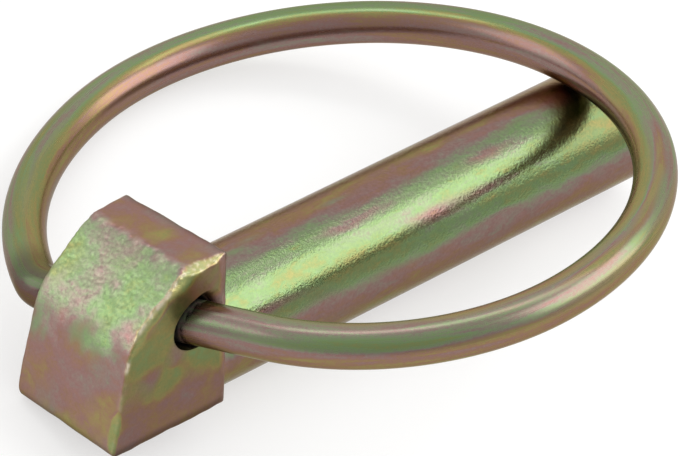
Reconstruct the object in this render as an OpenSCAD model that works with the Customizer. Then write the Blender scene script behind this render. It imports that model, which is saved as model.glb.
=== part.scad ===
// Lynch pin: a drop-forged pin with an offset head, and a spring-wire ring that
// hinges in a slanting hole through the head and closes over the pin's tip.
//
// Frame: X runs along the pin, from the head's back face to the tip. The origin is
// on the pin's axis, in the plane of the head's back face. The whole piece is rolled
// about X by rest_roll, the attitude in which it lies on a flat surface: along the
// underside of the pin and on the low side of the ring.

/* [Pin] */
// Diameter of the pin
pin_d = 11; // [9:0.1:13]
// Length of the pin, from the head's back face to its tip
pin_l = 52.4; // [51:0.1:56]
// Height of the cone at the tip
tip_chamfer = 1; // [0.5:0.1:2]
// Length of the cone that runs the pin's root out under the head
root_l = 2.6; // [2:0.1:4]
// Diameter of the pin's root inside the head
root_d = 7; // [5:0.1:8]

/* [Head] */
// Width of the head, side to side
head_w = 11.7; // [11:0.1:13]
// Length of the head at its foot
foot_l = 12.1; // [11.5:0.1:12.8]
// Height of the top flat above the pin's axis
top_h = 10.8; // [10:0.1:12]
// Depth of the foot below the pin's axis
foot_h = 4; // [3.2:0.1:4.7]
// Length of the top flat
top_l = 4; // [3:0.1:5]
// How far the brow, where the shoulder meets the front face, lies ahead of the back face
brow_l = 10.1; // [9.8:0.1:11]
// Height of the brow above the pin's axis
brow_h = 6.3; // [5.5:0.1:7]
// Bevel round both sides of the head
side_bevel = 0.45; // [0.2:0.05:0.8]
// Corner radius of the brow
brow_r = 4; // [2:0.1:6]
// Corner radius between the shoulder and the top flat
crown_r = 2; // [1:0.1:3]
// Corner radius of the foot
foot_r = 1; // [0.5:0.1:1.8]
// Corner radius of the top flat's back edge
heel_r = 0.4; // [0.2:0.1:1]

/* [Hinge hole] */
// Diameter of the wire ring's hole
hole_d = 4.8; // [4.4:0.1:5]
// Distance of the hole's near mouth ahead of the back face
near_x = 2.6; // [2.2:0.1:3.2]
// Height of the hole's near mouth above the pin's axis
near_z = 5.4; // [4.8:0.1:6]
// Distance of the hole's far mouth ahead of the back face
far_x = 6.8; // [5.8:0.1:6.8]
// Height of the hole's far mouth above the pin's axis
far_z = 4; // [3.6:0.1:4.6]

/* [Wire ring] */
// Diameter of the spring wire
wire_d = 3.74; // [3.2:0.02:4]
// Distance of the ring's crown from the head's back face
reach = 46; // [45:0.1:48]
// How far the crown lies to the far side of the pin's axis
crown_y = 1.9; // [0:0.1:3]
// Clearance between the closed ring and the pin
closed_gap = 0.42; // [0.3:0.02:1]
// Bend radii of the near half, from the crown to the head
near_r1 = 27.6; // [27:0.1:29]
near_r2 = 25.5; // [25:0.1:26.5]
near_r3 = 21.5; // [21:0.1:22]
// Angle of the near half's first bend
near_turn = 56.5; // [54:0.5:60]
// Bend radii of the far half, from the crown to the head
far_r1 = 25.5; // [25:0.1:26.5]
far_r2 = 33.7; // [33:0.1:35]
far_r3 = 2.7; // [2.4:0.1:3.5]
// Angle of the far half's first bend
far_turn = 107; // [100:0.5:110]
// How deep each end of the wire reaches into the hole
end_l = 4.4; // [3:0.1:5]

/* [Attitude] */
// Roll about the pin's axis at which the piece lies at rest
rest_roll = 15; // [12:0.5:20]

/* [Hidden] */

pin_sides = 96;
wire_sides = 48;
bend_sides = 96;
corner_steps = 6;
// How much thicker than the wire each ball between two bends is
blend_swell = 0.06;

zinc_gold = [0.55, 0.53, 0.36];
zinc_rose = [0.56, 0.47, 0.40];

// Hinge line, from the near mouth of the hole to its far mouth
hinge_near = [-near_x, -head_w / 2, near_z];
hinge_far = [-far_x, head_w / 2, far_z];
hinge_l = norm(hinge_far - hinge_near);
hinge_dir = (hinge_far - hinge_near) / hinge_l;

// The ring lies in the plane through the hinge line and the middle of its crown
crown = [reach, crown_y, pin_d / 2 + closed_gap + wire_d / 2];
crown_w = (crown - hinge_near) * hinge_dir;
crown_arm = crown - hinge_near - crown_w * hinge_dir;
crown_s = norm(crown_arm);
arm_dir = crown_arm / crown_s;
ring_normal = cross(arm_dir, hinge_dir);

// Places in the ring's plane are [s, w]: s out from the hinge line, w along it.
// A bend is [centre, radius, from, to], the angles being those of the outward side.
// The crown runs square across the pin, so its outward side faces along the pin.
crown_angle = atan2(-arm_dir.y, hinge_dir.y);

function polar(a) = [cos(a), sin(a)];

// The three bends of one half: side is -1 for the near half and 1 for the far half.
// The first two are given, and the third runs tangent into the hinge line.
function half_bends(side, r1, turn, r2, r3) =
    let (
        c1 = [crown_s, crown_w] - r1 * polar(crown_angle),
        a1 = crown_angle + side * turn,
        c2 = c1 + (r1 - r2) * polar(a1),
        c3 = [r3, c2.y + side * sqrt((r2 - r3) ^ 2 - (c2.x - r3) ^ 2)],
        a2 = atan2(c3.y - c2.y, c3.x - c2.x)
    )
    [[c1, r1, crown_angle, a1], [c2, r2, a1, a2], [c3, r3, a2, side * 180]];

near_bends = half_bends(-1, near_r1, near_turn, near_r2, near_r3);
far_bends = half_bends(1, far_r1, far_turn, far_r2, far_r3);

function bend_end(bend) = bend[0] + bend[1] * polar(bend[3]);

near_end_w = bend_end(near_bends[2]).y;
far_end_w = bend_end(far_bends[2]).y;

// A corner of an outline, rounded to radius r between its neighbours
function rounded_corner(before, at, after, r) =
    let (
        u = (before - at) / norm(before - at),
        v = (after - at) / norm(after - at),
        half = acos(u * v) / 2,
        centre = at + (u + v) / norm(u + v) * r / sin(half),
        from = atan2((at + u * r / tan(half) - centre).y, (at + u * r / tan(half) - centre).x),
        to = atan2((at + v * r / tan(half) - centre).y, (at + v * r / tan(half) - centre).x),
        turn = (to - from + 540) % 360 - 180
    )
    [for (i = [0 : corner_steps]) centre + r * polar(from + turn * i / corner_steps)];

// Side view of the head, x forward of the tip and z up, each corner with its radius
head_corners = [
    [[0, top_h], heel_r],
    [[-top_l, top_h], crown_r],
    [[-brow_l, brow_h], brow_r],
    [[-foot_l, -foot_h], foot_r],
    [[0, -foot_h], foot_r]
];

// The outline of the head's side, pulled in by inset all round
module head_outline(inset) {
    count = len(head_corners);
    offset(delta = -inset)
        polygon([
            for (i = [0 : count - 1])
                for (p = rounded_corner(
                    head_corners[(i + count - 1) % count][0],
                    head_corners[i][0],
                    head_corners[(i + 1) % count][0],
                    head_corners[i][1]
                )) p
        ]);
}

// A plate across the head, of the outline's shape and the given width
module head_plate(width, inset) {
    translate([0, width / 2, 0])
        rotate([90, 0, 0])
            linear_extrude(width)
                head_outline(inset);
}

// Turns a child that stands along Z to lie along the hinge line, w from the near mouth
module on_hinge(w) {
    translate(hinge_near + w * hinge_dir)
        rotate([0, acos(hinge_dir.z), atan2(hinge_dir.y, hinge_dir.x)])
            children();
}

module at_rest() {
    rotate([-rest_roll, 0, 0]) children();
}

// The round pin, with its cone at the tip and its root run out under the head
module shank() {
    rotate([0, 90, 0]) {
        cylinder(h = pin_l - tip_chamfer, d = pin_d, $fn = pin_sides);
        translate([0, 0, pin_l - tip_chamfer])
            cylinder(h = tip_chamfer, d1 = pin_d, d2 = pin_d - 2 * tip_chamfer, $fn = pin_sides);
        translate([0, 0, -root_l])
            cylinder(h = root_l, d1 = root_d, d2 = pin_d, $fn = pin_sides);
    }
}

// The forged block, bevelled round both its sides
module head() {
    hull() {
        head_plate(head_w - 2 * side_bevel, 0);
        head_plate(head_w, side_bevel);
    }
}

module pin() {
    color(zinc_rose)
        at_rest()
            difference() {
                union() {
                    shank();
                    head();
                }
                on_hinge(-head_w / 2)
                    cylinder(h = hinge_l + head_w, d = hole_d, $fn = pin_sides);
            }
}

// Lays a child drawn in the ring's own plane into place on the hinge line
module in_ring_plane() {
    translate(hinge_near)
        multmatrix([
            [arm_dir.x, hinge_dir.x, ring_normal.x, 0],
            [arm_dir.y, hinge_dir.y, ring_normal.y, 0],
            [arm_dir.z, hinge_dir.z, ring_normal.z, 0],
            [0, 0, 0, 1]
        ])
            children();
}

// One bend of the wire
module wire_bend(bend) {
    translate(bend[0])
        rotate(min(bend[2], bend[3]))
            rotate_extrude(angle = abs(bend[3] - bend[2]), $fn = bend_sides)
                translate([bend[1], 0])
                    circle(d = wire_d, $fn = wire_sides);
}

// The ball, a hair thicker than the wire, that runs one bend into the next
module wire_blend(place) {
    translate(place) sphere(d = wire_d + blend_swell, $fn = wire_sides);
}

// A straight end of the wire, along the hinge line from w = from to w = to
module wire_end(from, to) {
    translate([0, from])
        rotate([-90, 0, 0])
            cylinder(h = to - from, d = wire_d, $fn = pin_sides);
}

module ring() {
    color(zinc_gold)
        at_rest()
            in_ring_plane() {
                wire_blend([crown_s, crown_w]);
                for (bend = concat(near_bends, far_bends)) {
                    wire_bend(bend);
                    wire_blend(bend_end(bend));
                }
                wire_end(near_end_w, end_l);
                wire_end(hinge_l - end_l, far_end_w);
            }
}

pin();
ring();
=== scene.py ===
"""Looks of the lynch pin: its forged pin, its sprung wire ring, light, floor and camera.

Shapes are worked out in millimetres in the pin's own frame: X along the pin from the
head's back face, Z up through the head's top, -Y on the side where the ring's wire
leaves the head. at_rest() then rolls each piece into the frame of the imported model.
"""
import math

import bmesh
import bpy
import numpy as np
from mathutils import Matrix, Vector


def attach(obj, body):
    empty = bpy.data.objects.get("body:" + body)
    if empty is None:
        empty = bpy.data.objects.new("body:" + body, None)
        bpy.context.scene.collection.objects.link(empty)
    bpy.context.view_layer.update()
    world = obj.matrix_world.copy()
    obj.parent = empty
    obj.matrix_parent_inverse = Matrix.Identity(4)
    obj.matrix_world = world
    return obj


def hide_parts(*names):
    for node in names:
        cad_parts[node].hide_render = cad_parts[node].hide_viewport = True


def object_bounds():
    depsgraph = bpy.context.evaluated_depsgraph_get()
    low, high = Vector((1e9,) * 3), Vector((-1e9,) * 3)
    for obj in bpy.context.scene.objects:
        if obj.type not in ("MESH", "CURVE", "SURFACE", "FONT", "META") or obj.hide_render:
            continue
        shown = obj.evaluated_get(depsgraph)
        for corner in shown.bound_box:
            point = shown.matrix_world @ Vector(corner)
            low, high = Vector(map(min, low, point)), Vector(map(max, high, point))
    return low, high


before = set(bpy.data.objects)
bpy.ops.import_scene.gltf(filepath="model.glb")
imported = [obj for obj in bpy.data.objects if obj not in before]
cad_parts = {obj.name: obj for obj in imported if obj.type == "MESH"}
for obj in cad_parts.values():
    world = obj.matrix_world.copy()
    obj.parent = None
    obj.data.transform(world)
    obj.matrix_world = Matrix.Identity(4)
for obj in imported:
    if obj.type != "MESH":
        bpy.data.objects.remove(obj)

MM = 0.001
cad_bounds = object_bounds()

# ---------------------------------------------------------------- sizes, in millimetres

REST_ROLL = math.radians(15.0)

PIN_R = 5.497
PIN_L = 52.4
TIP_CHAMFER = 1.0
ROOT_L = 2.6
ROOT_R = 3.5

HEAD_HALF_W = 5.85
TOP_H = 10.8
FOOT_H = 4.0
TOP_L = 4.0
BROW_L, BROW_H = 10.1, 6.3
FOOT_L = 12.07

HINGE_NEAR = np.array([-2.6, -HEAD_HALF_W, 5.4])
HINGE_FAR = np.array([-6.8, HEAD_HALF_W, 4.0])
HOLE_R = 2.3
# The wire rests against the wall of its hole, so the hole lies this far off the wire
HOLE_SHIFT = np.array([-0.41, 0.0, 0.10])
# The hole's rim is worn this much wider, over this depth
RIM_BEVEL, RIM_DEPTH = 0.14, 0.5

# How far the shoulder bows out between the top flat and the brow
SHOULDER_CROWN = 0.18
# The back face lies this far towards the tip from the origin, and slopes this much across
BACK_SET, BACK_SKEW = 0.25, 0.05
# How far the far side bulges beside the top of its back edge
FAR_SET = 0.25
# How softly each plane of the head runs into those before it, and its worn bevels into all
ROUNDING = {"shoulder": 1.3, "top": 0.45, "foot": 1.5, "back": 0.3, "near": 0.14, "far": 0.35}
BEVEL_ROUNDING = 0.14
# Extra softness of the far side's edges, on the lower part of the head
FAR_WEAR = 0.5
# Place inside the head from which its skin is worked out, and half the box that it fills
HEAD_MIDDLE = np.array([-5.2, 0.0, 3.2])
HEAD_REACH = np.array([6.0, HEAD_HALF_W, 7.2])
# Radius of the turn between the pin's barrel and its tip cone, and of the one at its end
TIP_TURN, TIP_END = 0.72, 0.25

WIRE_R = 1.867
REACH = 46.0
CROWN_Y = 1.9
CLOSED_GAP = 0.42
NEAR_BENDS = (27.6, math.radians(56.5), 25.5, 21.5)
FAR_BENDS = (25.5, math.radians(107.0), 33.7, 2.7)
END_L = 4.4
# The sprung ring bears on the pin: near its crown the wire is bent this far down and away
PRESS = np.array([0.56, 0.56, -0.52])
PRESS_AT, PRESS_REACH = 62.0, 17.0

# ---------------------------------------------------------------- small helpers


def unit(v):
    return v / np.linalg.norm(v)


def at_rest(points):
    """Pin-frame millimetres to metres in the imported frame: a roll of -REST_ROLL about X."""
    c, s = math.cos(REST_ROLL), math.sin(REST_ROLL)
    roll = np.array([[1, 0, 0], [0, c, s], [0, -s, c]])
    return np.asarray(points) @ roll.T * MM


def ripple(points, size, seed, waves=28):
    """Seeded smooth noise of spread 1: sqrt(2/n) * sum sin(k.p + phase), |k| near 2 pi/size."""
    rng = np.random.default_rng(seed)
    k = rng.normal(size=(waves, 3))
    wave_number = 2 * math.pi / size * rng.uniform(0.6, 1.4, (waves, 1))
    k *= wave_number / np.linalg.norm(k, axis=1)[:, None]
    phase = rng.uniform(0, 2 * math.pi, waves)
    return np.sin(points @ k.T + phase).sum(axis=1) * math.sqrt(2 / waves)


def step(x, low, high):
    """Smoothstep: 0 below low, 1 above high, 3t^2 - 2t^3 between."""
    t = np.clip((x - low) / (high - low), 0, 1)
    return t * t * (3 - 2 * t)


def smooth_max(a, b, k):
    """max(a, b), rounded where they lie within k: + h^2/(4k), h = max(k - |a - b|, 0)."""
    h = np.maximum(k - np.abs(a - b), 0)
    return np.maximum(a, b) + h * h / (4 * k)


def new_mesh_object(name, points, faces):
    mesh = bpy.data.meshes.new(name)
    mesh.from_pydata(np.asarray(points).tolist(), [], faces)
    mesh.validate()
    obj = bpy.data.objects.new(name, mesh)
    bpy.context.scene.collection.objects.link(obj)
    return obj


def mesh_points(obj):
    flat = np.empty(len(obj.data.vertices) * 3)
    obj.data.vertices.foreach_get("co", flat)
    return flat.reshape(-1, 3)


def move_points(obj, points):
    obj.data.vertices.foreach_set("co", points.astype(np.float32).ravel())
    obj.data.update()


def store(obj, name, values):
    """Keeps one number or vector for each vertex as a mesh attribute that a material reads."""
    values = np.asarray(values, dtype=np.float32)
    vector = values.ndim == 2
    layer = obj.data.attributes.new(name, "FLOAT_VECTOR" if vector else "FLOAT", "POINT")
    layer.data.foreach_set("vector" if vector else "value", values.ravel())


def boolean(obj, other, operation):
    """Applies an exact boolean of obj with other, and deletes other."""
    modifier = obj.modifiers.new("cut", "BOOLEAN")
    modifier.operation = operation
    modifier.object = other
    modifier.solver = "EXACT"
    bpy.context.view_layer.update()
    evaluated = obj.evaluated_get(bpy.context.evaluated_depsgraph_get())
    result = bpy.data.meshes.new_from_object(evaluated)
    obj.modifiers.clear()
    obj.data = result
    bpy.data.objects.remove(other)


def shade_smooth(obj, sharp_angle):
    """Smooth shading, except over edges that turn by more than sharp_angle."""
    mesh = bmesh.new()
    mesh.from_mesh(obj.data)
    for face in mesh.faces:
        face.smooth = True
    for edge in mesh.edges:
        edge.smooth = len(edge.link_faces) == 2 and edge.calc_face_angle(0) < sharp_angle
    mesh.to_mesh(obj.data)
    mesh.free()


# ---------------------------------------------------------------- forged pin


def plane(p, x, z, through):
    """Distance outside the plane whose profile normal is (x, z), through a profile point."""
    n = unit(np.array([x, z]))
    return (p[:, 0] - through[0]) * n[0] + (p[:, 2] - through[1]) * n[1]


def head_faces(p):
    """Distance outside each of the block's seven faces, at points of the pin's frame.

    The shoulder bows out by SHOULDER_CROWN * (1 - t^2), t running from -1 at the brow to
    1 at the crown.
    """
    x, y, z = p.T
    brow, crown, toe = (-BROW_L, BROW_H), (-TOP_L, TOP_H), (-FOOT_L, -FOOT_H)
    front = plane(p, toe[1] - brow[1], brow[0] - toe[0], brow)
    shoulder = plane(p, brow[1] - crown[1], crown[0] - brow[0], crown)
    run, rise = BROW_L - TOP_L, TOP_H - BROW_H
    middle_x, middle_z = (brow[0] + crown[0]) / 2, (brow[1] + crown[1]) / 2
    t = ((x - middle_x) * run + (z - middle_z) * rise) * 2 / (run * run + rise * rise)
    shoulder = shoulder - SHOULDER_CROWN * (1 - np.clip(t, -1.1, 1.1) ** 2)
    return {
        "front": front,
        "shoulder": shoulder,
        "top": z - TOP_H,
        "foot": -FOOT_H - z,
        "back": x - BACK_SET + BACK_SKEW * y,
        "near": -y - HEAD_HALF_W,
        "far": y - HEAD_HALF_W - FAR_SET * step(x, -5, 0) * step(z, 5, 10),
    }


def head_distance(p):
    """The forged block: a smooth maximum of its faces' distances and its edges' bevels."""
    z = p[:, 2]
    face = head_faces(p)
    rounding = dict(ROUNDING)
    rounding["far"] = ROUNDING["far"] + FAR_WEAR * step(z, 0, 5) * (1 - step(z, 8, 10))
    block = face["front"]
    for name, softness in rounding.items():
        block = smooth_max(block, face[name], softness)
    for bevel in edge_bevels(p, face).values():
        block = smooth_max(block, bevel, BEVEL_ROUNDING)
    return block


def edge_bevels(p, face):
    """Distance outside each worn edge's bevel.

    It is share * one face's distance + sqrt(1 - share^2) * the other's + the bevel's depth,
    and the depth wanders along the edge.
    """
    x, z = p[:, 0], p[:, 2]
    wander = ripple(p, 2.2, 11)
    # One face, the other, the first one's share, and the depth
    bevels = (
        ("front", "near", 0.80, 0.10 + 0.26 * (1 - step(z, -0.4, 0.8)) + 0.03 * wander),
        ("back", "near", 0.30, 0.20 + 0.26 * step(z, -1.0, 5.0) + 0.03 * wander),
        ("foot", "near", 0.70, 0.22 + 0.02 * wander),
        ("top", "near", 0.88, 0.26 + 0.16 * step(-x, 0.3, 3.0) + 0.05 * wander),
        ("top", "back", 0.70, 0.12 + 0.03 * wander),
        ("shoulder", "near", 0.40, 0.20 + 0.05 * wander + 0.16 * step(z, 8.6, 10.6)),
    )
    return {
        (one, other): share * face[one] + math.sqrt(1 - share * share) * face[other] + depth
        for one, other, share, depth in bevels
    }


def head_relief(p):
    """How far the forged skin stands out: shallow dents all over, and grain on the shoulder."""
    face = head_faces(p)
    on_shoulder = step(face["shoulder"], -0.5, -0.1)
    dents = 0.014 * ripple(p, 5.0, 21) + 0.007 * ripple(p, 1.6, 22)
    grain = 0.012 * on_shoulder * (ripple(p, 1.1, 23) + 1.1 * ripple(p, 0.5, 24))
    return dents + grain


def cube_grid(cells):
    """Points (1, tan a, tan b), rolled on to the six sides of a cube, and their quads.

    a and b run evenly from -45 to 45 degrees; points that two sides share are welded.
    """
    grid = np.tan(np.linspace(-math.pi / 4, math.pi / 4, cells + 1))
    a, b = np.meshgrid(grid, grid, indexing="ij")
    corner = np.arange(a.size).reshape(a.shape)
    quad = np.stack([corner[:-1, :-1], corner[1:, :-1], corner[1:, 1:], corner[:-1, 1:]], -1)
    quad = quad.reshape(-1, 4)
    points, quads = [], []
    for axis in range(3):
        for sign in (-1, 1):
            side = np.stack([np.full(a.shape, sign), a, b], -1).reshape(-1, 3)
            quads.append(quad[:, ::sign] + len(points) * a.size)
            points.append(np.roll(side, axis, axis=1))
    points, quads = np.concatenate(points), np.concatenate(quads)
    # Adding 0.0 makes -0.0 the same as 0.0
    shared = np.round(points, 6) + 0.0
    _, first, weld = np.unique(shared, axis=0, return_index=True, return_inverse=True)
    return points[first], weld.reshape(-1)[quads].tolist()


def forged_head(cells):
    """Each ray of a cube's grid is followed from the block's middle to head_distance = 0.

    The place is found by halving, then moved out by head_relief along the surface normal.
    """
    directions, faces = cube_grid(cells)
    rays = directions * HEAD_REACH
    low, high = np.zeros(len(rays)), np.full(len(rays), 2.0)
    for _ in range(30):
        mid = (low + high) / 2
        inside = head_distance(HEAD_MIDDLE + rays * mid[:, None]) < 0
        low, high = np.where(inside, mid, low), np.where(inside, high, mid)
    points = HEAD_MIDDLE + rays * low[:, None]
    nudge = 1e-3
    slope = np.stack([
        head_distance(points + nudge * e) - head_distance(points - nudge * e) for e in np.eye(3)
    ], axis=1)
    normals = slope / np.linalg.norm(slope, axis=1)[:, None]
    relief = head_relief(points)[:, None]
    return new_mesh_object("forged_pin", points + normals * relief, faces)


def tube_faces(rows, sides, flip=False):
    """Quads between rows of sides points each, and a fan to each of two end points after them."""
    corner = np.arange(rows * sides).reshape(rows, sides)
    after = np.roll(corner, -1, axis=1)
    quads = np.stack([corner[:-1], after[:-1], after[1:], corner[1:]], -1).reshape(-1, 4)
    first = np.stack([np.full(sides, rows * sides), after[0], corner[0]], -1)
    last = np.stack([np.full(sides, rows * sides + 1), corner[-1], after[-1]], -1)
    order = -1 if flip else 1
    return quads[:, ::order].tolist() + np.concatenate([first, last])[:, ::order].tolist()


def lathe(name, stations, sides):
    """Points (x, -r sin v, r cos v) for each (x, r) station, closed by a point at both ends."""
    x, r = np.array(stations).T[:, :, None]
    v = np.arange(sides) * 2 * math.pi / sides
    skin = np.stack([x + 0 * v, -r * np.sin(v), r * np.cos(v)], -1).reshape(-1, 3)
    ends = [[stations[0][0], 0, 0], [stations[-1][0], 0, 0]]
    return new_mesh_object(name, np.concatenate([skin, ends]), tube_faces(len(stations), sides))


def shank(pitch):
    """The round pin: root cone, long barrel and tip cone, with rounded turns between them."""
    barrel_end = PIN_L - TIP_CHAMFER - 0.3
    stations = [(-ROOT_L, ROOT_R)]
    stations += [(x, PIN_R) for x in np.arange(0.0, barrel_end, pitch)]
    stations += [
        (barrel_end + TIP_TURN * math.sin(a), PIN_R - TIP_TURN * (1 - math.cos(a)))
        for a in np.linspace(0, math.pi / 4, 5)
    ]
    stations += [(PIN_L - TIP_END, PIN_R - TIP_CHAMFER + TIP_END)]
    stations += [(PIN_L, PIN_R - TIP_CHAMFER - 0.15)]
    stations += [(PIN_L, r) for r in (3.4, 2.2, 1.1)]
    return lathe("shank", stations, 128)


def hole_cutter():
    """The hinge hole's bore, whose radius grows by RIM_BEVEL * (1 - t)^2 at both mouths.

    t runs from 0 at the mouth to 1 at RIM_DEPTH. A cone beyond each mouth clears the rim.
    """
    line = HINGE_FAR - HINGE_NEAR
    length = float(np.linalg.norm(line))
    cone_l, cone_rise = 6.0, 4.96
    mouth_r = HOLE_R + RIM_BEVEL
    stations = [(-cone_l, mouth_r + cone_rise), (-RIM_BEVEL, mouth_r)]
    stations += [
        (RIM_DEPTH * t - 0.02, HOLE_R + RIM_BEVEL * (1 - t) ** 2) for t in np.linspace(0.1, 1, 6)
    ]
    stations += [(length - x, r) for x, r in reversed(stations)]
    cutter = lathe("hole", stations, 96)
    axis = unit(line)
    side = unit(np.cross(axis, [0, 0, 1]))
    axes = np.stack([axis, side, np.cross(axis, side)], axis=1)
    move_points(cutter, mesh_points(cutter) @ axes.T + HINGE_NEAR + HOLE_SHIFT)
    return cutter


def around(angle_deg, knots, turns=0):
    """A value that varies round a section, through (degrees, value) knots.

    It is the straight line between knots, averaged over 16 degrees with a Hann window. It
    may gain a number of whole turns in one trip round.
    """
    degrees, values = np.array(knots).T
    fine = np.arange(-180, 540, 2.0)
    line = np.interp(fine % 360, degrees % 360, values - turns * degrees / 360, period=360)
    kernel = np.hanning(9) / np.hanning(9).sum()
    level = np.interp(angle_deg % 360, fine, np.convolve(line, kernel, "same"))
    return level + turns * angle_deg / 360


def soft_stains(places, ragged, daubs):
    """Film phase of (middle, reach, phase) stains, and how far they cover what lies under them.

    Each covers exp(-away^2 / 0.9) of its place; where they meet, the fuller one sets the phase.
    """
    bare, weights, phases = 1.0, 1e-6, 0.0
    for middle, reach, phase in daubs:
        away = np.linalg.norm((places - np.array(middle)) / np.array(reach), axis=1)
        cover = np.exp(-np.maximum(away + 0.16 * ragged, 0) ** 2 / 0.9)
        bare = bare * (1 - cover)
        weights = weights + cover ** 2
        phases = phases + phase * cover ** 2
    return phases / weights, 1 - bare


# Film phase round the shank: degrees from its top towards its near side. The phase by side is
# partly painted reflection: each side gets the hue its reflections show, greenest under the key
# lamp's highlight
SHANK_FILM_AND_REFLECTION = (
    (-60, 0.42), (-27, 0.44), (-8, 0.48), (4, 0.56), (13, 0.68), (20, 0.90), (32, 0.96),
    (46, 1.01), (60, 1.02), (74, 1.02), (84, 0.80), (94, 0.58), (106, 0.50), (122, 0.36),
    (200, 0.55), (250, 0.70),
)
# Film phase of the tip's end face
TIP_FILM = 0.56
# Stains on the shank: (mm from the head, degrees round), their reach and film phase
SHANK_STAINS = (
    ((19, 10), (8, 6), 0.60), ((31, 4), (7, 6), 0.62), ((31, -12), (6, 8), 0.32),
    ((26, 6), (2.4, 7), 0.42), ((41, -10), (4, 12), 0.44), ((38, 14), (5, 8), 0.96),
    ((8, 12), (4, 5), 0.72), ((14, 11), (3.5, 5), 0.96), ((18, 26), (4, 5), 0.72),
    ((33, 24), (3, 5), 0.62), ((27, 53), (4, 6), 0.66), ((33, 54), (3, 4), 0.70),
    ((12, 47), (7, 9), 1.04), ((25.5, 50), (2.4, 4), 0.60), ((6.4, 2), (1.1, 3.5), 0.86),
    ((8.4, -5), (1.1, 3.5), 0.86), ((17.6, -1), (1.1, 3), 0.86), ((26.4, 4), (1.0, 3), 0.86),
    ((38, 44), (4, 7), 1.06), ((6, 64), (3, 4), 0.62), ((10, 84), (5, 9), 0.60),
    ((19, 92), (5, 9), 0.56), ((27, 70), (5, 7), 0.98), ((36, 66), (6, 9), 1.06),
    ((47, 40), (6, 24), 1.14), ((8, 112), (9, 14), 0.36), ((31, 86), (6, 7), 0.64),
    ((15, 118), (6, 8), 0.30),
)
# Film phase of the head's faces and worn edges, and each face's brightness beyond the shank's,
# painted light and shade: each face is painted brighter or darker for how light falls on it
FACE_FILM = {"front": 0.56, "shoulder": 0.92, "top": 0.50, "near": 0.20}
FACE_PAINTED_LIGHT = {"front": 0.22, "shoulder": 0.62, "top": 0.14, "near": -0.14}
EDGE_FILM = 0.18
# Stains on the head: (x, y, z), their reach and film phase
HEAD_STAINS = (
    # shoulder
    ((-5.1, 0.3, 10.0), 1.5, 0.72), ((-4.9, -3.6, 10.1), 1.3, 0.80),
    ((-5.1, 3.4, 10.0), 1.2, 0.84), ((-7.5, 5.0, 8.2), 1.8, 1.09),
    ((-7.1, 1.0, 8.5), 0.9, 0.76), ((-7.1, -0.9, 8.5), 0.8, 0.76),
    ((-7.4, -3.0, 8.3), 1.8, 1.03), ((-7.8, -4.6, 8.0), 0.9, 0.78),
    ((-9.1, 1.6, 7.0), 1.6, 0.78), ((-9.5, -4.6, 6.8), 1.4, 0.64),
    ((-8.7, -1.6, 7.3), 1.6, 0.98),
    # front
    ((-10.4, -1.3, 4.7), (2.0, 2.8, 1.0), 0.94), ((-10.3, 4.6, 5.0), 1.2, 0.86),
    ((-10.4, 2.4, 4.6), 1.3, 0.62), ((-10.7, -3.6, 3.2), 1.6, 0.70),
    ((-10.6, 5.0, 3.2), 1.1, 0.84), ((-11.5, -4.0, -1.1), 1.5, 0.34),
    ((-11.1, -4.6, 0.9), 1.0, 0.40), ((-11.4, 4.1, -0.7), 1.5, 0.42),
    ((-11.9, -1.0, -3.2), (2.0, 3.6, 0.8), 0.30), ((-11.0, 0.6, 1.4), 1.1, 0.60),
    # near side
    ((-8.2, -5.85, 4.2), 1.5, 0.10), ((-8.0, -5.85, 2.4), 1.2, 0.60),
    ((-5.2, -5.85, 3.3), 1.0, 0.56), ((-5.8, -5.85, 1.2), 1.3, 0.10),
    ((-2.2, -5.85, 2.6), 1.3, 0.12), ((-4.1, -5.85, -0.7), 2.0, 0.56),
    ((-9.6, -5.85, 0.0), 1.6, 0.48), ((-2.3, -5.85, 8.8), 2.0, 0.50),
    ((-2.0, -5.85, -1.6), 1.1, 0.42),
    # top
    ((-2.6, 3.8, 10.8), 1.4, 0.44), ((-1.4, 4.2, 10.8), 0.9, 0.56),
    ((-2.1, -0.3, 10.8), 1.2, 0.28), ((-2.1, -2.1, 10.8), 1.0, 0.56),
    ((-2.2, -4.0, 10.8), 1.1, 0.40),
)
# Film phase round the wire: degrees from the ring's outer side towards its upper face. The phase
# by side is partly painted reflection: each side gets the hue its reflections show
WIRE_FILM_AND_REFLECTION = (
    (-40, 0.40), (0, 0.48), (24, 0.76), (40, 0.84), (64, 0.79), (90, 0.82), (108, 0.92),
    (124, 1.28), (140, 1.48), (160, 1.57), (200, 1.57), (250, 1.46),
)
# Stains on the wire: (mm from its near stub, degrees round), their reach and film phase
WIRE_STAINS = (
    ((9, 30), (8, 11), 0.94), ((6, 2), (7, 9), 0.62), ((12, -8), (10, 9), 0.56),
    ((24, 46), (7, 10), 0.66), ((20, 8), (9, 8), 0.34), ((34, 20), (9, 14), 0.30),
    ((32, 66), (10, 10), 0.40), ((42, 74), (9, 16), 0.32), ((44, 46), (8, 12), 0.66),
    ((60, 50), (13, 34), 0.90), ((20, 104), (16, 18), 1.38), ((40, 112), (10, 20), 1.24),
    ((48, 145), (9, 20), 1.30), ((58, 82), (9, 24), 0.92), ((57, 130), (5, 16), 1.20),
    ((70, 142), (8, 12), 1.58), ((80, 113), (6, 8), 1.16), ((90, 112), (6, 7), 1.04),
    ((72, 92), (8, 12), 0.86), ((100, 90), (10, 16), 0.80), ((90, 160), (14, 20), 1.56),
    ((106, 117), (6, 8), 1.26), ((112, 140), (10, 10), 1.58), ((120, 172), (10, 24), 1.40),
    ((129, 122), (9, 22), 1.28), ((138, 112), (8, 20), 1.36), ((124, 74), (9, 18), 1.06),
    ((137, 76), (8, 18), 1.16), ((132, 40), (9, 18), 0.80), ((143, 100), (5, 30), 1.26),
)


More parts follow.
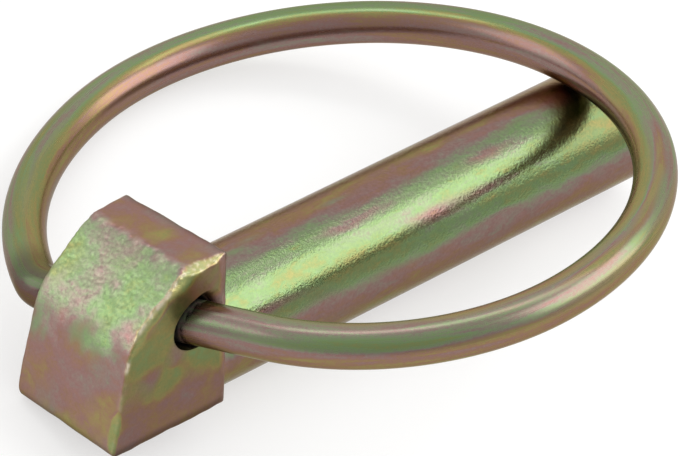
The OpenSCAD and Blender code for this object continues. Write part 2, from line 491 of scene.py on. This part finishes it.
def head_zones(p, face):
    """How far each point of the head belongs to its front, shoulder, top and near faces."""
    near = step(face["near"], -0.25, -0.05)
    past_brow = face["shoulder"] - face["front"] + 0.6 * ripple(p, 2.4, 36)
    past_crown = face["top"] - face["shoulder"] + 0.15 * ripple(p, 1.5, 37)
    shoulder, top = step(past_brow, -2.0, 1.4), step(past_crown, -0.6, 0.4)
    return {
        "front": (1 - shoulder) * (1 - top) * (1 - near),
        "shoulder": shoulder * (1 - top) * (1 - near),
        "top": top * (1 - near),
        "near": near,
    }


def head_wear(p, face, bevel):
    """Where the film is rubbed off: in flecks along the shoulder's burr, the edges and the cap.

    Each is exp(-(distance from the edge / width)^2), broken up by noise.
    """
    z = p[:, 2]
    profile_edge = np.hypot(face["near"], np.maximum(face["front"], face["shoulder"]))
    burr = np.exp(-(profile_edge / 0.20) ** 2) * step(z, 3.2, 4.6)
    burr *= step(ripple(p, 1.1, 33), -0.9, 0.9)
    ridge = np.abs(bevel["shoulder", "near"] - face["shoulder"])
    burr += np.exp(-(ridge / 0.14) ** 2) * step(bevel["shoulder", "near"], -0.25, -0.05)
    burr *= 0.35 + 0.65 * step(ripple(p, 0.8, 40), -0.9, 0.9)
    to_edge = -np.sort(np.stack(list(face.values())), axis=0)[-2]
    rubbed = np.exp(-(to_edge / 0.22) ** 2) * step(ripple(p, 1.6, 34), -0.4, 1.2)
    cap = step(bevel["top", "near"], -0.10, 0.0)
    cap *= 0.12 + 0.62 * step(ripple(p, 0.4, 35), 0.0, 1.4)
    return np.clip(0.9 * burr + 0.25 * rubbed + 0.6 * cap, 0, 1)


def paint_hole_shade(p):
    """Painted shade: 1 on the wall of the hinge hole, fading over its rim, where the hole is
    painted black.
    """
    hinge = unit(HINGE_FAR - HINGE_NEAR)
    offset = p - (HINGE_NEAR + HOLE_SHIFT)
    from_line = np.linalg.norm(offset - (offset @ hinge)[:, None] * hinge, axis=1)
    depth = HEAD_HALF_W - np.abs(p[:, 1])
    return (1 - step(from_line, HOLE_R + 0.02, HOLE_R + 0.13)) * step(depth, -0.05, 0.20)


def pin_attributes(obj, p):
    """What the forged skin looks like at each of its points, as plated_steel() reads it.

    film and stain are phases of the film's colours, and cover is how far the stain hides
    the film. The brightness carries painted light and shade besides tone, wear is bare zinc,
    and the black is painted shade in the hinge hole. rough is its roughness, grain how strong
    its fine grain is, and mottle how far the colours drift.
    """
    x, y, z = p.T
    on_shank = step(x, 0.5, 0.7)
    on_head = 1 - on_shank
    angle = np.degrees(np.arctan2(-y, z))
    # 0 on the tip's end face, where an angle round the pin means nothing
    round_side = step(np.hypot(y, z), 3.2, 4.4)
    # The film's phase by side, partly painted reflection hue
    shank_film_and_reflection = around(angle, SHANK_FILM_AND_REFLECTION) + 0.04 * ripple(p * [0.2, 1, 1], 3.0, 31)
    shank_film_and_reflection = TIP_FILM + (shank_film_and_reflection - TIP_FILM) * round_side
    ragged = ripple(p * [0.35, 1, 1], 1.8, 38)
    shank_stain, shank_cover = soft_stains(np.stack([x, angle], 1), ragged, SHANK_STAINS)
    shank_cover = shank_cover * round_side

    face = head_faces(p)
    bevel = edge_bevels(p, face)
    zone = head_zones(p, face)
    strip = step(bevel["front", "near"], -0.06, -0.01) * step(-z, -1.0, 0.0)
    ledge = step(bevel["shoulder", "near"], -0.30, 0.0) + step(bevel["top", "near"], -0.06, 0.0)
    worn_edge = np.clip(strip + ledge, 0, 1)
    head_film = sum(FACE_FILM[name] * zone[name] for name in FACE_FILM)
    head_film += 0.14 * step(x, -1.4, -0.5) * zone["top"]
    head_film += 0.32 * (1 - step(z, -1.0, 1.0)) * zone["near"]
    head_film += 0.04 * ripple(p, 5.0, 32)
    head_stain, head_cover = soft_stains(p, ripple(p, 1.4, 39), HEAD_STAINS)
    head_stain += (EDGE_FILM - head_stain) * worn_edge
    head_cover += (1 - head_cover) * worn_edge

    # The top's back edge, the foot and the crown lie in a little more shade
    heel = np.exp(-(np.hypot(face["top"], face["back"]) / 0.45) ** 2)
    toe = 1 - step(-face["foot"], 0.5, 1.2)
    crown = zone["shoulder"] * step(z, 9.2, 10.3)
    # Painted light and shade: each face painted brighter or darker for how light falls on it,
    # heel, toe and crown darker; the worn ledge and strip are a little brighter as wear
    head_painted_light_and_wear = sum(FACE_PAINTED_LIGHT[name] * zone[name] for name in FACE_PAINTED_LIGHT)
    head_painted_light_and_wear += 0.3 * ledge + 0.1 * strip - 0.60 * heel - 0.40 * toe - 0.22 * crown
    # Painted shade: towards the tip a darker band, the ring's painted shadow over the lamp's
    # reflection, climbs round the pin from its near side, and from 56 to 66 degrees round from the
    # top the pin is painted a little darker
    ring_shadow_from = 58 - 0.11 * np.maximum(x - 29, 0) ** 2
    ring_shadow_paint = step(angle - ring_shadow_from, 0, 5) * step(x, 30, 34) * (1 - step(angle, 58, 66))
    shank_painted_shade = -(0.08 * step(angle, 56, 66) + 0.30 * ring_shadow_paint) * round_side

    store(obj, "film", shank_film_and_reflection * on_shank + head_film * on_head)
    store(obj, "stain", shank_stain * on_shank + head_stain * on_head)
    store(obj, "cover", shank_cover * on_shank + head_cover * on_head)
    store(obj, "tone_and_painted_light", 1 + head_painted_light_and_wear * on_head + shank_painted_shade * on_shank)
    store(obj, "wear", head_wear(p, face, bevel) * on_head)
    store(obj, "painted_hole_shade", paint_hole_shade(p) * on_head)
    store(obj, "rough", 0.17 + 0.17 * on_head)
    store(obj, "grain", 0.40 + 0.35 * on_shank + 0.90 * zone["shoulder"] * on_head)
    store(obj, "mottle", 0.42 + 0.16 * on_shank + 0.04 * zone["shoulder"] * on_head)
    drawn = p * [0.38, 1, 1] * on_shank[:, None]
    store(obj, "along", drawn + p * [0.7, 0.7, 1] * on_head[:, None])
    store(obj, "place", p)


def forged_pin():
    """Head, shank and hinge hole as one forging, which stands for the pin's CAD node."""
    obj = forged_head(110)
    boolean(obj, hole_cutter(), "DIFFERENCE")
    boolean(obj, shank(0.6), "UNION")
    points = mesh_points(obj)
    pin_attributes(obj, points)
    move_points(obj, at_rest(points))
    shade_smooth(obj, math.radians(38))
    obj.data.materials.clear()
    obj.data.materials.append(plated_steel("forged_zinc_plate", 0.28, 0.04))
    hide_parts("pin")
    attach(obj, "pin")


# ---------------------------------------------------------------- wire ring


def polar(a):
    return np.stack([np.cos(a), np.sin(a)], -1)


class RingPlane:
    """The closed ring's plane: s out from the hinge line, w along it, as in the CAD."""

    def __init__(self):
        crown = np.array([REACH, CROWN_Y, PIN_R + CLOSED_GAP + WIRE_R])
        self.w_dir = unit(HINGE_FAR - HINGE_NEAR)
        self.crown_w = (crown - HINGE_NEAR) @ self.w_dir
        arm = crown - HINGE_NEAR - self.crown_w * self.w_dir
        self.crown_s = np.linalg.norm(arm)
        self.s_dir = arm / self.crown_s
        self.normal = np.cross(self.s_dir, self.w_dir)
        self.crown_angle = math.atan2(-self.s_dir[1], self.w_dir[1])

    def half_bends(self, side, r1, turn, r2, r3):
        """Centre, radius, first and last outward angle of a half's three tangent bends."""
        c1 = np.array([self.crown_s, self.crown_w]) - r1 * polar(self.crown_angle)
        a1 = self.crown_angle + side * turn
        c2 = c1 + (r1 - r2) * polar(a1)
        c3 = np.array([r3, c2[1] + side * math.sqrt((r2 - r3) ** 2 - (c2[0] - r3) ** 2)])
        a2 = math.atan2(c3[1] - c2[1], c3[0] - c2[0])
        return [(c1, r1, self.crown_angle, a1), (c2, r2, a1, a2), (c3, r3, a2, side * math.pi)]

    def half_path(self, side, bends, end_w, pitch):
        """Places [s, w] and outward angles from the crown to the wire's end in the head.

        Each bend is centre + radius * (cos a, sin a), and the end runs along the hinge line.
        """
        places, angles = [], []
        for centre, radius, start, stop in self.half_bends(side, *bends):
            count = max(4, math.ceil(abs(stop - start) * radius / pitch))
            a = np.linspace(start, stop, count, endpoint=False)
            places.append(centre + radius * polar(a))
            angles.append(a)
        bend_w = (centre + radius * polar(stop))[1]
        w = np.linspace(bend_w, end_w, math.ceil(abs(end_w - bend_w) / pitch))
        places.append(np.stack([np.zeros(len(w)), w], 1))
        angles.append(np.full(len(w), stop))
        return np.concatenate(places), np.concatenate(angles)


def wire_ring(pitch, sides):
    """The bent wire, centre(u) + WIRE_R * (cos v * outward + sin v * the plane's normal).

    u is the length along the ring's path, from the end of its near stub, and v is the
    angle round the wire. It stands for the ring's CAD node.
    """
    ring = RingPlane()
    hinge_l = np.linalg.norm(HINGE_FAR - HINGE_NEAR)
    near_places, near_angles = ring.half_path(-1, NEAR_BENDS, END_L, pitch)
    far_places, far_angles = ring.half_path(1, FAR_BENDS, hinge_l - END_L, pitch)
    places = np.concatenate([near_places[:0:-1], far_places])
    angles = np.concatenate([near_angles[:0:-1], far_angles])
    centres = HINGE_NEAR + places[:, :1] * ring.s_dir + places[:, 1:] * ring.w_dir
    steps = np.linalg.norm(np.diff(centres, axis=0), axis=1)
    length = np.concatenate([[0], np.cumsum(steps)])
    length -= length[np.argmax(places[:, 0] > 1e-6)]
    centres += np.exp(-((length - PRESS_AT) / PRESS_REACH) ** 2)[:, None] * PRESS

    outward = polar(angles) @ np.stack([ring.s_dir, ring.w_dir])
    v = np.arange(sides) * 2 * math.pi / sides
    skin = centres[:, None] + WIRE_R * (
        np.cos(v)[None, :, None] * outward[:, None] + np.sin(v)[None, :, None] * ring.normal
    )
    points = np.concatenate([skin.reshape(-1, 3), centres[:1], centres[-1:]])
    obj = new_mesh_object("wire_ring", at_rest(points), tube_faces(len(centres), sides, flip=True))
    u = np.append(np.repeat(length, sides), [length[0], length[-1]])
    v = np.append(np.tile(v, len(centres)), [0.0, 0.0])
    ring_attributes(obj, points, u, v)
    shade_smooth(obj, math.radians(50))
    obj.data.materials.append(plated_steel("wire_zinc_plate", 0.20, 0.008))
    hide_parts("ring")
    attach(obj, "ring")


def ring_attributes(obj, points, u, v):
    """What the wire's skin looks like at each of its points, as pin_attributes() has it."""
    round_wire = np.stack([u, WIRE_R * np.cos(v), WIRE_R * np.sin(v)], 1)
    angle = (np.degrees(v) + 60) % 360 - 60
    # The film's phase by side, partly painted reflection hue
    film = around(angle, WIRE_FILM_AND_REFLECTION, turns=1) + 0.04 * ripple(round_wire * [0.12, 1, 1], 2.5, 41)
    ragged = ripple(round_wire * [0.25, 1, 1], 1.6, 42)
    stain, cover = soft_stains(np.stack([u, angle], 1), ragged, WIRE_STAINS)
    # Painted light: the upper face is brighter, as where light falls from above. The wire is also
    # brighter inside the near bend and darker on its upper face about 85 mm along; it is duller
    # towards the far stub and painted in deep shade where it runs into the head at its far end
    tone_and_painted_light = 1.05 + 0.10 * np.exp(-((angle - 90) / 40) ** 2)
    tone_and_painted_light += 0.25 * np.exp(-((u - 56) / 9) ** 2 - ((angle - 162) / 24) ** 2)
    tone_and_painted_light -= 0.16 * np.exp(-((u - 85) / 22) ** 2 - ((angle - 85) / 24) ** 2)
    tone_and_painted_light -= 0.08 * step(u, 112, 125) + 0.45 * step(u, 139, 143)
    # Painted shade: the wire is painted black where it runs inside the head
    shade_in_head = step(HEAD_HALF_W - np.abs(points[:, 1]), 0.15, 0.5) * (points[:, 0] < 0)

    store(obj, "film", film)
    store(obj, "stain", stain)
    store(obj, "cover", cover)
    store(obj, "tone_and_painted_light", tone_and_painted_light)
    store(obj, "wear", np.zeros(len(u)))
    store(obj, "painted_hole_shade", shade_in_head)
    store(obj, "rough", np.full(len(u), 0.27))
    store(obj, "grain", np.full(len(u), 0.25))
    store(obj, "mottle", np.full(len(u), 0.75))
    store(obj, "along", round_wire * [0.12, 1.6, 1.6])
    store(obj, "place", round_wire)


# ---------------------------------------------------------------- materials


def to_linear(srgb_hex):
    """An sRGB hex colour as linear RGBA."""
    parts = [int(srgb_hex[i:i + 2], 16) / 255 for i in (1, 3, 5)]
    return [c / 12.92 if c <= 0.04045 else ((c + 0.055) / 1.055) ** 2.4 for c in parts] + [1.0]


# Chromate film colours over one full turn of its thickness, and back to the first
FILM_COLOURS = (
    (0.00, "#71885C"), (0.14, "#7A7F52"), (0.28, "#8B8051"), (0.43, "#886B52"),
    (0.58, "#866763"), (0.72, "#82736B"), (0.86, "#798367"), (1.00, "#71885C"),
)
# Bare zinc where the film is worn, and black painted shade for the hinge hole
BARE_ZINC, PAINTED_SHADE_BLACK = "#DCCFB8", "#0F0F0D"
# How the plating's edge-on mirror image is tinted
EDGE_TINT = "#D6D0C4"

# Noise in the plating: its coordinates, size in mm, detail, roughness and distortion.
# Patches and streaks are where the film dried thicker, flecks are the zinc's crystals.
PLATE_NOISE = {
    "patches": ("along", 2.6, 3.0, 0.55, 1.0),
    "streaks": ("along", 0.8, 4.0, 0.60, 0.6),
    "flecks": ("place", 0.28, 3.0, 0.70, 0.0),
}
# How much each noise moves the film's phase
DRIFT = {"patches": 0.9, "streaks": 0.9, "flecks": 0.5}
FLECK_CONTRAST = 0.6
STREAK_ROUGHNESS = 0.22
# Roughness added where the hinge hole's painted shade is
PAINTED_SHADE_ROUGHNESS = 0.5


def add_node(tree, kind, inputs, **settings):
    """Adds a node with its settings, and sets or links its inputs, by name or number.

    An input takes a value, a socket to link, or a node whose first output is linked.
    """
    node = tree.nodes.new(kind)
    for name, value in settings.items():
        setattr(node, name, value)
    for key, value in inputs.items():
        if isinstance(value, bpy.types.Node):
            value = value.outputs[0]
        if isinstance(value, bpy.types.NodeSocket):
            tree.links.new(value, node.inputs[key])
        else:
            node.inputs[key].default_value = value
    return node


def new_material(name):
    material = bpy.data.materials.new(name)
    material.use_nodes = True
    material.node_tree.nodes.clear()
    return material


def plated_steel(name, grain_mm, grain_depth_mm):
    """Zinc plate dipped in yellow chromate, on steel.

    It gives the eye a soft metal gloss, whose tint runs from green through gold and rose
    to grey as the film thickens, in patches and streaks, over a fine crystal grain.
    """
    material = new_material(name)
    tree = material.node_tree

    skin = {}
    for label in ("film", "stain", "cover", "tone_and_painted_light", "wear", "painted_hole_shade", "rough", "grain", "mottle"):
        read = add_node(tree, "ShaderNodeAttribute", {}, attribute_name=label)
        skin[label] = read.outputs["Fac"]
    for label in ("along", "place"):
        read = add_node(tree, "ShaderNodeAttribute", {}, attribute_name=label)
        skin[label] = read.outputs["Vector"]

    # Each noise is centred on 0
    noises = {}
    pattern = dict(PLATE_NOISE, relief=("place", grain_mm, 3.0, 0.65, 0.0))
    for label, (coordinates, size_mm, detail, roughness, distortion) in pattern.items():
        noise = add_node(tree, "ShaderNodeTexNoise", {
            "Vector": skin[coordinates], "Scale": 1 / size_mm, "Detail": detail,
            "Roughness": roughness, "Distortion": distortion,
        })
        noises[label] = add_node(
            tree, "ShaderNodeMath", {0: noise.outputs["Fac"], 1: 0.5}, operation="SUBTRACT")

    drift = 0.0
    for label, amount in DRIFT.items():
        drift = add_node(
            tree, "ShaderNodeMath", {0: noises[label], 1: amount, 2: drift},
            operation="MULTIPLY_ADD")
    drift = add_node(tree, "ShaderNodeMath", {0: drift, 1: skin["mottle"]}, operation="MULTIPLY")

    tints = []
    for label in ("film", "stain"):
        phase = add_node(tree, "ShaderNodeMath", {0: skin[label], 1: drift}, operation="ADD")
        phase = add_node(tree, "ShaderNodeMath", {0: phase}, operation="FRACT")
        ramp = add_node(tree, "ShaderNodeValToRGB", {"Fac": phase})
        stops = ramp.color_ramp.elements
        while len(stops) < len(FILM_COLOURS):
            stops.new(0.5)
        for stop, (position, colour) in zip(stops, FILM_COLOURS):
            stop.position = position
            stop.color = to_linear(colour)
        tints.append(ramp)
    tint = add_node(
        tree, "ShaderNodeMix", {0: skin["cover"], 6: tints[0], 7: tints[1]}, data_type="RGBA")

    # The brightness read from the mesh carries painted light and shade as well as tone; the flecks
    # add the crystals' random tone
    fleck = add_node(
        tree, "ShaderNodeMath", {0: noises["flecks"], 1: skin["grain"]}, operation="MULTIPLY")
    fleck = add_node(
        tree, "ShaderNodeMath", {0: fleck, 1: FLECK_CONTRAST, 2: 1.0}, operation="MULTIPLY_ADD")
    tone_and_painted_light = add_node(tree, "ShaderNodeMath", {0: skin["tone_and_painted_light"], 1: fleck}, operation="MULTIPLY")
    plate = add_node(
        tree, "ShaderNodeVectorMath", {0: tint.outputs[2], 3: tone_and_painted_light}, operation="SCALE")
    plate = add_node(
        tree, "ShaderNodeMix", {0: skin["wear"], 6: plate, 7: to_linear(BARE_ZINC)},
        data_type="RGBA")
    # Painted shade: black, not metal and rougher, in the hinge hole and on the wire inside the
    # head
    plate = add_node(
        tree, "ShaderNodeMix", {0: skin["painted_hole_shade"], 6: plate.outputs[2], 7: to_linear(PAINTED_SHADE_BLACK)},
        data_type="RGBA")

    metal = add_node(tree, "ShaderNodeMath", {0: 1.0, 1: skin["painted_hole_shade"]}, operation="SUBTRACT")
    rough = add_node(
        tree, "ShaderNodeMath", {0: noises["streaks"], 1: STREAK_ROUGHNESS, 2: skin["rough"]},
        operation="MULTIPLY_ADD")
    rough = add_node(
        tree, "ShaderNodeMath", {0: skin["painted_hole_shade"], 1: PAINTED_SHADE_ROUGHNESS, 2: rough},
        operation="MULTIPLY_ADD")
    relief = add_node(
        tree, "ShaderNodeMath", {0: noises["relief"], 1: skin["grain"]}, operation="MULTIPLY")
    bump = add_node(tree, "ShaderNodeBump", {
        "Height": relief, "Distance": grain_depth_mm * MM, "Strength": 1.0,
    })
    shader = add_node(tree, "ShaderNodeBsdfPrincipled", {
        "Base Color": plate.outputs[2], "Metallic": metal, "Roughness": rough, "Normal": bump,
        "Specular Tint": to_linear(EDGE_TINT),
    })
    add_node(tree, "ShaderNodeOutputMaterial", {"Surface": shader})
    return material


# ---------------------------------------------------------------- floor, light, camera

# Half the floor's width, and how far each lamp stands from the object, in metres
FLOOR_HALF = 2.0
LAMP_DISTANCE = 0.5
# Softboxes: azimuth, elevation, width and height in metres, radiance, and roll in degrees
SOFTBOXES = {
    "key": (46, 33, 0.44, 0.38, 2.25, -30),
    "left": (-128, 28, 0.34, 0.36, 1.1, 0),
    "overhead": (128, 75, 0.53, 0.11, 2.0, -15),
}
# The tent's radiance at its sides, how much it gains towards an azimuth, and that azimuth
TENT_GLOW, TENT_GAIN, TENT_AZIMUTH = 0.90, 0.22, 135


def in_pin_frame(azimuth, elevation):
    """Unit vector at an azimuth from -Y and an elevation, both in degrees, in the pin's frame."""
    a, e = math.radians(azimuth), math.radians(elevation)
    return np.array([math.sin(a) * math.cos(e), -math.cos(a) * math.cos(e), math.sin(e)])


def paper(name, colour, lift):
    """Matt paper, lifted towards white where it is seen or mirrored, so its shadows stay soft."""
    material = new_material(name)
    tree = material.node_tree
    sheet = add_node(tree, "ShaderNodeBsdfDiffuse", {"Color": to_linear(colour)})
    path = add_node(tree, "ShaderNodeLightPath", {}).outputs
    seen = path["Is Camera Ray"]
    for label in ("Is Glossy Ray", "Is Transmission Ray"):
        seen = add_node(tree, "ShaderNodeMath", {0: seen, 1: path[label]}, operation="MAXIMUM")
    lifted = add_node(tree, "ShaderNodeMath", {0: seen, 1: lift}, operation="MULTIPLY")
    glow = add_node(tree, "ShaderNodeEmission", {
        "Color": to_linear("#FFFFFF"), "Strength": lifted,
    })
    both = add_node(tree, "ShaderNodeAddShader", {0: sheet, 1: glow})
    add_node(tree, "ShaderNodeOutputMaterial", {"Surface": both})
    return material


def lay_floor():
    half, z = FLOOR_HALF, cad_bounds[0][2]
    corners = [(-half, -half, z), (half, -half, z), (half, half, z), (-half, half, z)]
    floor = new_mesh_object("floor", corners, [(0, 1, 2, 3)])
    floor.data.materials.append(paper("floor_paper", "#B0B0AF", 0.56))


def add_softbox(name, azimuth, elevation, width, height, radiance, roll):
    """A rectangular lamp that looks at the object's middle from a pin-frame direction."""
    lamp = bpy.data.lights.new(name, "AREA")
    lamp.shape = "RECTANGLE"
    lamp.size, lamp.size_y = width, height
    lamp.energy = radiance * math.pi * width * height
    obj = bpy.data.objects.new(name, lamp)
    bpy.context.scene.collection.objects.link(obj)
    away = Vector(at_rest(in_pin_frame(azimuth, elevation))) / MM
    obj.location = Vector(at_rest([20.0, 0.0, 0.0])) + away * LAMP_DISTANCE
    turn = away.to_track_quat("Z", "Y").to_matrix() @ Matrix.Rotation(math.radians(roll), 3, "Z")
    obj.rotation_euler = turn.to_euler()


def light_studio():
    """Softboxes to the near right, to the back left and overhead, in a tent of pale cloth."""
    for name, placing in SOFTBOXES.items():
        add_softbox(name, *placing)

    world = bpy.data.worlds.new("tent")
    bpy.context.scene.world = world
    world.use_nodes = True
    tree = world.node_tree
    tree.nodes.clear()
    sky = add_node(tree, "ShaderNodeTexCoord", {}).outputs["Generated"]
    bright_side = tuple(at_rest(in_pin_frame(TENT_AZIMUTH, 0)) / MM)
    towards = add_node(
        tree, "ShaderNodeVectorMath", {0: sky, 1: bright_side}, operation="DOT_PRODUCT")
    glow = add_node(
        tree, "ShaderNodeMath", {0: towards.outputs["Value"], 1: TENT_GAIN, 2: TENT_GLOW},
        operation="MULTIPLY_ADD")
    cloth = add_node(tree, "ShaderNodeBackground", {
        "Color": to_linear("#FFFFFF"), "Strength": glow,
    })
    add_node(tree, "ShaderNodeOutputWorld", {"Surface": cloth})


def place_camera():
    """A long lens from above the head's near front corner, rolled a little."""
    azimuth, elevation, roll = -45.29, 33.55, 2.99
    distance_mm = 399.5
    target_mm = np.array([13.15, -5.385, 7.588])
    back = in_pin_frame(azimuth, elevation)
    a = math.radians(azimuth)
    right = np.array([math.cos(a), math.sin(a), 0.0])
    up = np.cross(back, right)
    c, s = math.cos(math.radians(roll)), math.sin(math.radians(roll))
    right, up = c * right + s * up, c * up - s * right
    camera = bpy.data.cameras.new("camera")
    camera.sensor_width = 36.0
    camera.lens = 258.4
    camera.clip_start, camera.clip_end = 0.01, 10.0
    obj = bpy.data.objects.new("camera", camera)
    bpy.context.scene.collection.objects.link(obj)
    axes = at_rest(np.stack([right, up, back])) / MM
    turn = Matrix([Vector(v) for v in axes]).transposed().to_4x4()
    place = Vector(at_rest(target_mm + distance_mm * back))
    obj.matrix_world = Matrix.Translation(place) @ turn
    bpy.context.scene.camera = obj


bpy.context.scene.view_settings.view_transform = "Standard"
place_camera()
lay_floor()
light_studio()
forged_pin()
wire_ring(pitch=0.35, sides=64)
